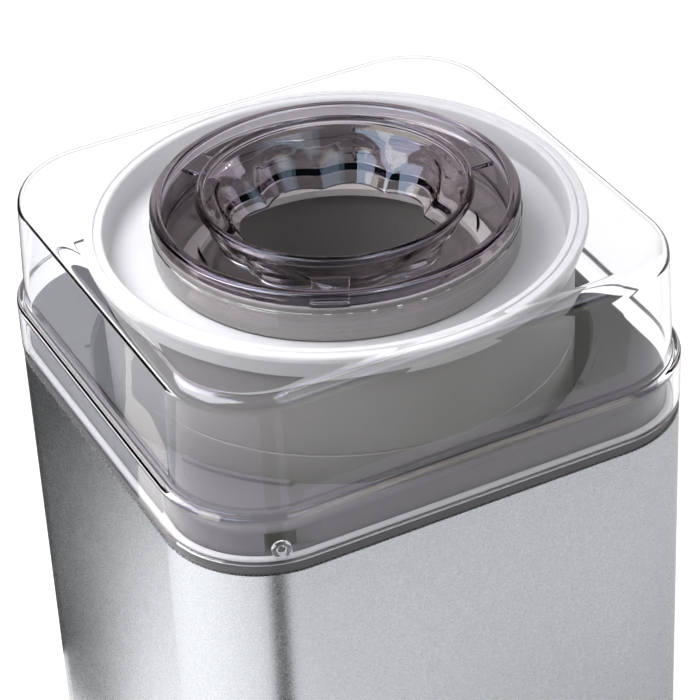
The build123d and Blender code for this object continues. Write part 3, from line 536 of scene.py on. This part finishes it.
def make_spout():
    """Ring, web and fluted funnel, moulded in one."""
    plug = COLLAR_R - 2.7
    ring_top = STEEL_TOP + 80.3
    web = STEEL_TOP + 64.0
    outline = soften(
        [
            (plug, web, 0.5),
            (plug, COLLAR_TOP + 0.1, 0.2),
            (COLLAR_R, COLLAR_TOP + 0.1, 0.5),
            (COLLAR_R, ring_top, 1.8),
            (COLLAR_R - 4.4, ring_top, 1.6),
            (COLLAR_R - 4.6, web + SPOUT_T, 1.2),
            (42.6, web + SPOUT_T, 0.8),
            (50.9, FUNNEL_TOP - 3.6, 0.5),
            (FUNNEL_R, FUNNEL_TOP - 3.0, 0.8),
            (FUNNEL_R - 0.3, FUNNEL_TOP, 1.3),
            (FUNNEL_R - 3.0, FUNNEL_TOP, 1.3),
            (FUNNEL_R - 4.1, FUNNEL_TOP - 4.5, 1.5),
            (THROAT_R - SPOUT_T / 2, THROAT_Z, 0.6),
            (THROAT_R + SPOUT_T / 2, THROAT_Z, 0.6),
            (40.6, web, 0.5),
        ]
    )
    loops = []
    for r, z in divided(outline, OUTLINE_STEP):
        share = (z - THROAT_Z) / (FUNNEL_TOP - THROAT_Z)
        loops.append(fluted_loop(r, share if r < FUNNEL_R else 1.0, z))
    meshes = [skin("spout", loops)]
    for bearing in TAB_BEARINGS:
        turn = Matrix.Rotation(radians(bearing), 4, "Z")
        place = turn @ Matrix.Translation((TAB_R, 0, ring_top - TAB_DROP))
        meshes.append(rounded_bar("tab", TAB_SIZE, 0.6, place))
    turn = Matrix.Rotation(radians(RIB_BEARING), 4, "Z")
    place = turn @ Matrix.Translation((RIB_R, 0, web + RIB_RISE))
    meshes.append(rounded_bar("rib", RIB_SIZE, 0.3, place))
    place_piece(joined("fluted_spout", meshes), "spout", "clear_spout", "ingredient_spout")


# ---------------------------------------------------------------- collar
COLLAR_FOOT = STEEL_TOP + 59.3
COLLAR_T = 2.4


def make_collar():
    inner = COLLAR_R - COLLAR_T
    outline = [
        (COLLAR_R, COLLAR_FOOT, 0.8),
        (COLLAR_R, COLLAR_TOP, 0.4),
        (inner, COLLAR_TOP, 0.4),
        (inner, COLLAR_FOOT, 0.8),
    ]
    place_piece(lathe("satin_collar", outline), "lid", "collar_grey", "lid_collar")


# ---------------------------------------------------------------- freezer bowl
def make_rim():
    under = RECESS_Z - RIM_T
    outline = [
        (RIM_MOUTH_R, under, 0.4),
        (RIM_FLOOR_R, under, 0.3),
        (RIM_FLOOR_R, RECESS_Z + 1.0, 0.2),
        (RIM_R - 2.6, RECESS_Z + 1.0, 0.5),
        (RIM_R, RIM_TOP - 2.2, 1.0),
        (RIM_R, RIM_TOP, 1.5),
        (RIM_R - 3.1, RIM_TOP, 0.5),
        (RIM_R - 3.7, RIM_TOP - 0.9, 0.4),
        (RIM_R - 4.3, RIM_TOP, 0.5),
        (RIM_INNER_R, RIM_TOP, 1.2),
        (RIM_INNER_R - 1.6, RECESS_Z, 1.6),
        (RIM_MOUTH_R, RECESS_Z, 0.4),
    ]
    place_piece(lathe("grooved_rim", outline), "bowl", "rim_grey", "bowl_rim")


SHELL_FOOT_R = 86.0
SHELL_FOOT_H = 4
SHELL_T = 2.0
SEAM = 0.5                # depth of the groove, and half its height


def make_bowl_shell():
    """Outer wall with the thin groove where its two mouldings meet."""
    seam = DECK_TOP + 7.5

    def wall(height):
        share = (height - SHELL_BOTTOM - SHELL_FOOT_H) / (SHELL_TOP - SHELL_BOTTOM - SHELL_FOOT_H)
        return SHELL_FOOT_R + (SHELL_R - SHELL_FOOT_R) * share

    outline = [
        (0, SHELL_BOTTOM, 0),
        (82.0, SHELL_BOTTOM, 3.0),
        (SHELL_FOOT_R, SHELL_BOTTOM + SHELL_FOOT_H, 3.0),
        (wall(seam - SEAM), seam - SEAM, 0.2),
        (wall(seam) - SEAM, seam, 0.1),
        (wall(seam + SEAM), seam + SEAM, 0.2),
        (SHELL_R, SHELL_TOP, 0.3),
        (SHELL_R - SHELL_T, SHELL_TOP, 0.3),
        (84.0, SHELL_BOTTOM + 5, 1.0),
        (81.0, SHELL_BOTTOM + 3, 1.0),
        (0, SHELL_BOTTOM + 3, 0),
    ]
    place_piece(lathe("bowl_wall", outline), "bowl", "bowl_grey", "bowl_outer_shell")


LINER_T = 1.5
CONE_H = 16


def make_liner():
    """Inner wall of the bowl, with a cone in its floor."""
    floor = LINER_FLOOR + LINER_T
    outline = [
        (0, floor + CONE_H, 0),
        (5, floor + CONE_H, 2.0),
        (9, floor, 1.5),
        (52, floor, 6.0),
        (61, floor + 5, 9.0),
        (MOUTH_R, RECESS_Z, 1.2),
        (RIM_MOUTH_R - 0.2, RECESS_Z, 0.4),
        (RIM_MOUTH_R - 0.2, RECESS_Z - RIM_T, 0.4),
        (MOUTH_R + 1.5, RECESS_Z - 3.5, 1.0),
        (62.6, floor + 4, 9.0),
        (53, floor - LINER_T, 6.0),
        (10.5, floor - LINER_T, 1.5),
        (6.5, floor + (CONE_H - LINER_T), 2.0),
        (0, floor + (CONE_H - LINER_T), 0),
    ]
    place_piece(lathe("bowl_liner", outline), "bowl", "liner_metal", "bowl_inner_liner")


# ---------------------------------------------------------------- body
TRIM_INSET = 0.8          # the band stands in from the steel, whose edge shows below it
TRIM_W = 5.0


def make_trim():
    outline = [
        (TRIM_INSET, STEEL_TOP, 0.3),
        (TRIM_INSET, TRIM_TOP, 0.9),
        (TRIM_W, TRIM_TOP, 0.4),
        (TRIM_W, STEEL_TOP, 0.3),
    ]
    band = skin("trim_band", [square_loop(inset, z) for inset, z in soften(outline)])
    place_piece(band, "base", "trim_grey", "trim_ring")


BEAD_INSET = (2.7, 5.0)
BEAD_HEIGHT = (0.6, 2.2)  # above the trim


def make_highlight_bead():
    """Bead round the foot of the deck that the lid's skirt centres on; its rounded top catches the
    overhead light, and its pale colour paints the rest of the white highlight line seen through the
    skirt.
    """
    foot, top = (TRIM_TOP + rise for rise in BEAD_HEIGHT)
    outer, inner = BEAD_INSET
    outline = soften([(outer, foot, 0.2), (outer, top, 0.9), (inner, top, 0.9), (inner, foot, 0.2)])
    bead = skin("highlight_bead", [square_loop(inset, z) for inset, z in outline])
    # pale colour: painted highlight along the foot of the lid, partly real light on the bead's rounded
    # top
    place_piece(bead, "base", "rim_grey")


REAR_HALF = 61.8
REAR_T = 0.9
REAR_GAP = 0.4            # above and below the sheet, together
REAR_INSET = 0.05


def make_rear_sheet():
    """Flat sheet at the back, with a fine seam down each side of it."""
    height = STEEL_TOP - BASE_STEP - REAR_GAP
    middle = (0, HALF_D - REAR_T / 2 - REAR_INSET, (STEEL_TOP + BASE_STEP) / 2)
    place = Matrix.Translation(middle)
    sheet = rounded_bar("rear_sheet", (2 * REAR_HALF, REAR_T, height), 0.3, place)
    place_piece(sheet, "base", "steel_wrap", "rear_panel")


KNOB_R = 18.0
KNOB_FRONT = low("control_knob", 1)
KNOB_BACK = high("control_knob", 1)
MARK_T = 0.5
GRIP_W = 10.0
GRIP_SHORT = 2.4          # less than the skirt is wide
GRIP_BACK = 2.0           # kept clear of the housing
LINE_R = KNOB_R - 8.5
LINE_SIZE = (1.5, 2 * MARK_T, 11.0)


def facing_front(x, y, z, turn=0.0):
    """Matrix for a bar on the front, turned clockwise about the knob's axis, in degrees."""
    spin = Matrix.Rotation(radians(turn), 4, "Y")
    return Matrix.Translation((0, 0, KNOB_Z)) @ spin @ Matrix.Translation((x, y, z))


def make_knob():
    """Round skirt with a finger grip across it and a line that points at the marks."""
    outline = [
        (0, 0, 0),
        (KNOB_R, 0, 0.4),
        (KNOB_R, 3.0, 1.8),
        (KNOB_R - 3.0, 4.4, 1.5),
        (0, 4.8, 0),
    ]
    skirt = skin("knob_skirt", [round_loop(r, z) for r, z in soften(outline)])
    centre = Matrix.Translation(Vector((0, KNOB_BACK, KNOB_Z)) * MM)
    skirt.transform(centre @ Matrix.Rotation(pi / 2, 4, "X"))
    depth = KNOB_BACK - KNOB_FRONT - GRIP_BACK
    middle = KNOB_FRONT + MARK_T / 2 + depth / 2
    grip_size = (GRIP_W, depth, 2 * KNOB_R - GRIP_SHORT)
    grip = rounded_bar("grip", grip_size, 1.8, facing_front(0, middle, 0))
    place_piece(joined("knob", [skirt, grip]), "knob", "knob_plastic", "control_knob")
    place = facing_front(0, KNOB_FRONT + MARK_T, LINE_R)
    place_piece(rounded_bar("knob_line", LINE_SIZE, 0.3, place), "knob", "rim_grey")


BEZEL_FRONT = low("control_bezel", 1)
MARK_ANGLES = (0, 60)
MARK_R = KNOB_R + 1.9
MARK_SIZE = (1.0, 2 * MARK_T, 2.0)


def make_dial_marks():
    """One short bar on the bezel for each place of the switch."""
    bars = []
    for turn in MARK_ANGLES:
        place = facing_front(0, BEZEL_FRONT, MARK_R, turn)
        bars.append(rounded_bar("mark", MARK_SIZE, 0.25, place))
    place_piece(joined("dial_marks", bars), "base", "switch_plastic")


# ---------------------------------------------------------------- stage
def aim(obj, target):
    direction = Vector(target) - obj.location
    obj.rotation_mode = "QUATERNION"
    obj.rotation_quaternion = direction.to_track_quat("-Z", "Y")


def softbox(name, place, target, size, power):
    light = bpy.data.lights.new(name, "AREA")
    light.shape = "RECTANGLE"
    light.size, light.size_y = size
    light.energy = power
    obj = bpy.data.objects.new(name, light)
    obj.location = place
    bpy.context.scene.collection.objects.link(obj)
    obj.visible_camera = False
    aim(obj, target)


def flat_card(name, corners, height):
    """Level sheet for the stage, from corner points in metres."""
    points = [Vector((x, y, height)) for x, y in corners]
    card = bpy.data.objects.new(name, clean_mesh(name, points, [tuple(range(len(points)))]))
    bpy.context.scene.collection.objects.link(card)
    return card


SWEEP_GLOW = {"Is Camera Ray": 0.55, "Is Transmission Ray": 0.9}
SWEEP_STRENGTH = 1.5
FLOOR_COLOUR = (0.86, 0.86, 0.87)
FLOOR_GRAIN = 40.0


def floor_paint():
    """Pale paint that the lens sees a little overexposed, as a studio sweep is."""
    material, tree, shader, output = start_material("floor_paint")
    tone = two_tones(tree, noise(tree, FLOOR_GRAIN), FLOOR_COLOUR, 0.01)
    tree.links.new(tone, shader.inputs["Base Color"])
    shader.inputs["Roughness"].default_value = 0.7
    glow = tree.nodes.new("ShaderNodeEmission")
    glow.inputs["Strength"].default_value = SWEEP_STRENGTH
    path = tree.nodes.new("ShaderNodeLightPath")
    rays = [combined(tree, "MULTIPLY", path.outputs[ray], share) for ray, share in SWEEP_GLOW.items()]
    unscattered = combined(tree, "LESS_THAN", path.outputs["Diffuse Depth"], 0.5)
    share = combined(tree, "MULTIPLY", combined(tree, "MAXIMUM", *rays), unscattered)
    tree.links.new(mixed(tree, share, shader.outputs[0], glow.outputs[0]), output.inputs["Surface"])
    return material


FLOOR_R = 6.0


def make_floor():
    """Large pale floor that the machine stands on."""
    rim = [(FLOOR_R * cos(a), FLOOR_R * sin(a)) for a in ROUND_ANGLES]
    floor = flat_card("pale_floor", rim, 0.0)
    floor.data.materials.append(floor_paint())


# Cards of painted shade: dark patches of floor that only reflections see, where the floor beside and in
# front of the machine would lie in shade.
SHADE_CARD_HEIGHT = 0.002
SHADE_CARDS = {
    "left_shade_card": [(-0.12, 0.05), (-0.43, 0.69), (-0.43, 1.2), (0.05, 1.2), (0.05, 0.13), (-0.12, 0.13)],
    "front_shade_card": [(-0.12, -0.15), (-0.09, -0.15), (-0.12, -0.60), (-0.28, -0.60)],
    "far_front_shade_card": [(-0.05, -0.43), (0.6, -0.43), (0.9, -1.3), (-0.05, -1.3)],
    "far_left_shade_card": [(-0.25, 0.18), (-0.6, 0.18), (-0.6, 0.7), (-0.44, 0.7), (-0.25, 0.31)],
}


def make_shade_cards():
    """Black cards on the floor that only mirror-like surfaces see: painted shade, standing in for shaded
    floor beside and in front of the machine; they cast no shadow and only darken the steel's reflections.
    """
    shade_black = moulded("painted_shade_card", (0.02, 0.02, 0.02), 0.9)
    for name, corners in SHADE_CARDS.items():
        card = flat_card(name, corners, SHADE_CARD_HEIGHT)
        card.data.materials.append(shade_black)
        card.visible_camera = False
        card.visible_diffuse = False
        card.visible_shadow = False
        card.visible_transmission = False


WORLD_DIM = 0.09
WORLD_BRIGHT = 1.0
SWEEP_EDGE = (0.62, 0.95)  # cosines from its direction where it begins and is full
SWEEP_DIRECTION = Vector((0.44, 0.90, -0.15)).normalized()


def make_world():
    """Dim studio with a white sweep behind the machine."""
    world = bpy.data.worlds.new("studio")
    world.use_nodes = True
    tree = world.node_tree
    background = tree.nodes["Background"]
    background.inputs["Color"].default_value = (0.97, 0.98, 1.0, 1)
    direction = tree.nodes.new("ShaderNodeTexCoord")
    towards = tree.nodes.new("ShaderNodeVectorMath")
    towards.operation = "DOT_PRODUCT"
    towards.inputs[1].default_value = SWEEP_DIRECTION
    tree.links.new(direction.outputs["Generated"], towards.inputs[0])
    strength = ramp(tree, towards.outputs["Value"], WORLD_DIM, WORLD_BRIGHT, *SWEEP_EDGE)
    tree.links.new(strength, background.inputs["Strength"])
    bpy.context.scene.world = world


LIGHTS = (                # name, place, target, size in metres, watts
    ("back_top", (-0.45, 0.75, 1.5), (0, 0, 0.25), (1.1, 0.7), 12.5),
    ("overhead", (0.3, -0.15, 1.55), (0, 0, 0.2), (0.9, 0.16), 2.6),
    ("right_side", (1.4, -0.25, 0.5), (0, 0, 0.25), (0.9, 0.55), 5),
    ("left_floor", (-0.37, 0.01, 0.5), (-0.37, 0.01, 0.0), (0.4, 0.4), 3.3),
    ("front_floor", (0.14, -0.36, 0.5), (0.14, -0.36, 0.0), (0.4, 0.4), 0.7),
    ("front_fill", (0.5, -1.5, 1.1), (0, 0, 0.15), (0.9, 0.5), 2),
)


def make_lights():
    for light in LIGHTS:
        softbox(*light)


CAMERA_AT = (-0.4052, -0.8491, 0.8576)
CAMERA_YAW = radians(26.077)
CAMERA_PITCH = radians(33.870)
CAMERA_ROLL = radians(-2.907)
CAMERA_SENSOR = 36.0
CAMERA_LENS = 152.15      # millimetres
CAMERA_SHIFT = (-0.0228, -0.0487)


def make_camera():
    data = bpy.data.cameras.new("photo_view")
    data.sensor_width = CAMERA_SENSOR
    data.lens = CAMERA_LENS
    data.shift_x, data.shift_y = CAMERA_SHIFT
    data.clip_start, data.clip_end = 0.05, 50
    camera = bpy.data.objects.new("photo_view", data)
    bpy.context.scene.collection.objects.link(camera)
    flat = cos(CAMERA_PITCH)
    ahead = Vector((sin(CAMERA_YAW) * flat, cos(CAMERA_YAW) * flat, -sin(CAMERA_PITCH)))
    level = Vector((cos(CAMERA_YAW), -sin(CAMERA_YAW), 0))
    down = ahead.cross(level)
    across = level * cos(CAMERA_ROLL) - down * sin(CAMERA_ROLL)
    up = -(level * sin(CAMERA_ROLL) + down * cos(CAMERA_ROLL))
    turn = Matrix((across, up, -ahead)).transposed().to_4x4()
    camera.matrix_world = Matrix.Translation(CAMERA_AT) @ turn
    bpy.context.scene.camera = camera


# ---------------------------------------------------------------- build
dress_nodes()
make_lid()
make_spout()
make_collar()
make_rim()
make_bowl_shell()
make_liner()
make_trim()
make_highlight_bead()
make_rear_sheet()
make_knob()
make_dial_marks()
make_floor()
make_shade_cards()
make_world()
make_lights()
make_camera()
bpy.context.scene.view_settings.view_transform = "Standard"
